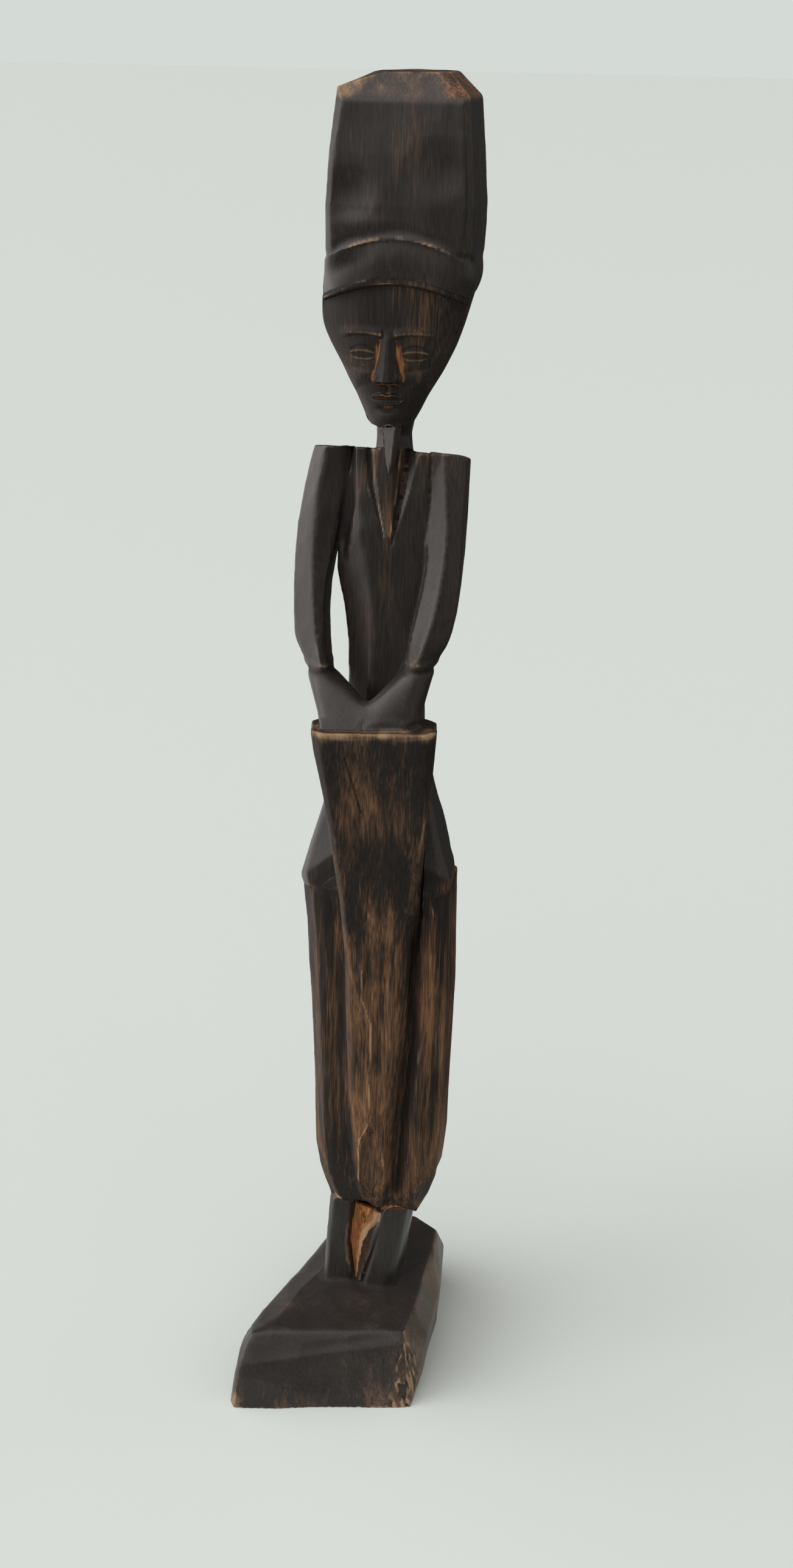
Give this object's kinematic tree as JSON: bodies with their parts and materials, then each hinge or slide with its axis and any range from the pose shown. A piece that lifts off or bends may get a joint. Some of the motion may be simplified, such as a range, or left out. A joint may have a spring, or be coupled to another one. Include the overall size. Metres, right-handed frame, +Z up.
{
  "type": "carved ancestor figure",
  "caption": "Slender standing figure carved from dark wood, with a tall block cap and a narrow beard, hands resting on a long tapering drum, on a skewed bevelled plinth.",
  "frame": {"origin": "on the plinth's underside, under the centre of the bounding box", "axes": "+Z up the figure, -Y the way the figure faces, +X its own left side"},
  "size_m": [0.0632, 0.0884, 0.401],
  "materials": {
    "dark_stained_wood": "black-brown stain under a thin wax polish, semi-gloss on the knife facets",
    "worn_brown_wood": "black-brown stain rubbed through to brown wood along the grain",
    "bare_wood": "unstained orange-brown wood, matt"
  },
  "bodies": {
    "root": {"plinth": "dark_stained_wood", "right_foot": "dark_stained_wood", "left_foot": "dark_stained_wood", "ankle_web": "bare_wood", "right_leg": "worn_brown_wood", "left_leg": "worn_brown_wood", "right_thigh": "dark_stained_wood", "left_thigh": "dark_stained_wood", "seat": "dark_stained_wood", "drum": "worn_brown_wood", "torso": "dark_stained_wood", "chest_panel": "worn_brown_wood", "right_sleeve": "dark_stained_wood", "left_sleeve": "dark_stained_wood", "right_hand": "dark_stained_wood", "left_hand": "dark_stained_wood", "neck": "dark_stained_wood", "beard": "dark_stained_wood", "head": "worn_brown_wood", "cap_band": "dark_stained_wood", "cap": "dark_stained_wood"}
  },
  "joints": []
}
